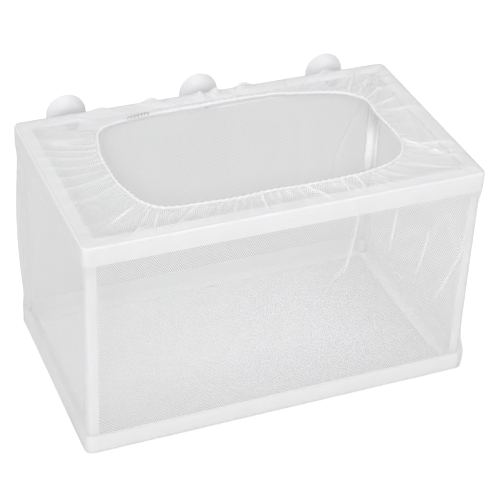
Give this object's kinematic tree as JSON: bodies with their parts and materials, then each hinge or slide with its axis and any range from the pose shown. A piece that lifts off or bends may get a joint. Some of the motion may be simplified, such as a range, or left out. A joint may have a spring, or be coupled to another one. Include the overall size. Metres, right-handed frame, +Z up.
{
  "type": "net breeding box for an aquarium",
  "caption": "Net breeding box with a plastic strip frame, fine net bag, gathered elastic mouth and suction cups for hanging on aquarium glass.",
  "frame": {"origin": "under the middle of the whole object's length and depth, on the surface that it stands on", "axes": "+X along the box's length, to the right seen from the front; +Y towards the glass behind it, where the suction cups are; +Z up"},
  "size_m": [0.2684, 0.1668, 0.1643],
  "materials": {
    "frame_plastic": "white moulded plastic, slightly satin",
    "net_fabric": "fine white tulle with small hexagonal holes",
    "hem_fabric": "the same tulle folded and stitched over the elastic",
    "elastic": "white covered round elastic",
    "clear_cup": "soft clear vinyl with a slight grey tint, glossy"
  },
  "bodies": {
    "frame": {"top_rail_front": "frame_plastic", "top_rail_rear": "frame_plastic", "top_rail_left": "frame_plastic", "top_rail_right": "frame_plastic", "bottom_rail_front": "frame_plastic", "bottom_rail_rear": "frame_plastic", "bottom_rail_left": "frame_plastic", "bottom_rail_right": "frame_plastic", "post_front_left": "frame_plastic", "post_front_right": "frame_plastic", "post_rear_left": "frame_plastic", "post_rear_right": "frame_plastic", "net_front": "net_fabric", "net_rear": "net_fabric", "net_left": "net_fabric", "net_right": "net_fabric", "net_corner_front_left": "net_fabric", "net_corner_front_right": "net_fabric", "net_corner_rear_left": "net_fabric", "net_corner_rear_right": "net_fabric", "net_floor": "net_fabric", "net_skirt": "net_fabric", "mouth_hem": "hem_fabric", "bottom_seam": "hem_fabric", "mouth_elastic": "elastic"},
    "cup_left": {"suction_cup_left": "clear_cup"},
    "cup_centre": {"suction_cup_centre": "clear_cup"},
    "cup_right": {"suction_cup_right": "clear_cup"}
  },
  "joints": [
    {"name": "cup_left_swivel", "type": "hinge", "parent": "frame", "child": "cup_left", "pos_m": [-0.093, 0.06985, 0.1508], "axis": [0, 1, 0], "continuous": true},
    {"name": "cup_centre_swivel", "type": "hinge", "parent": "frame", "child": "cup_centre", "pos_m": [0, 0.06985, 0.1508], "axis": [0, 1, 0], "continuous": true},
    {"name": "cup_right_swivel", "type": "hinge", "parent": "frame", "child": "cup_right", "pos_m": [0.093, 0.06985, 0.1508], "axis": [0, 1, 0], "continuous": true}
  ]
}
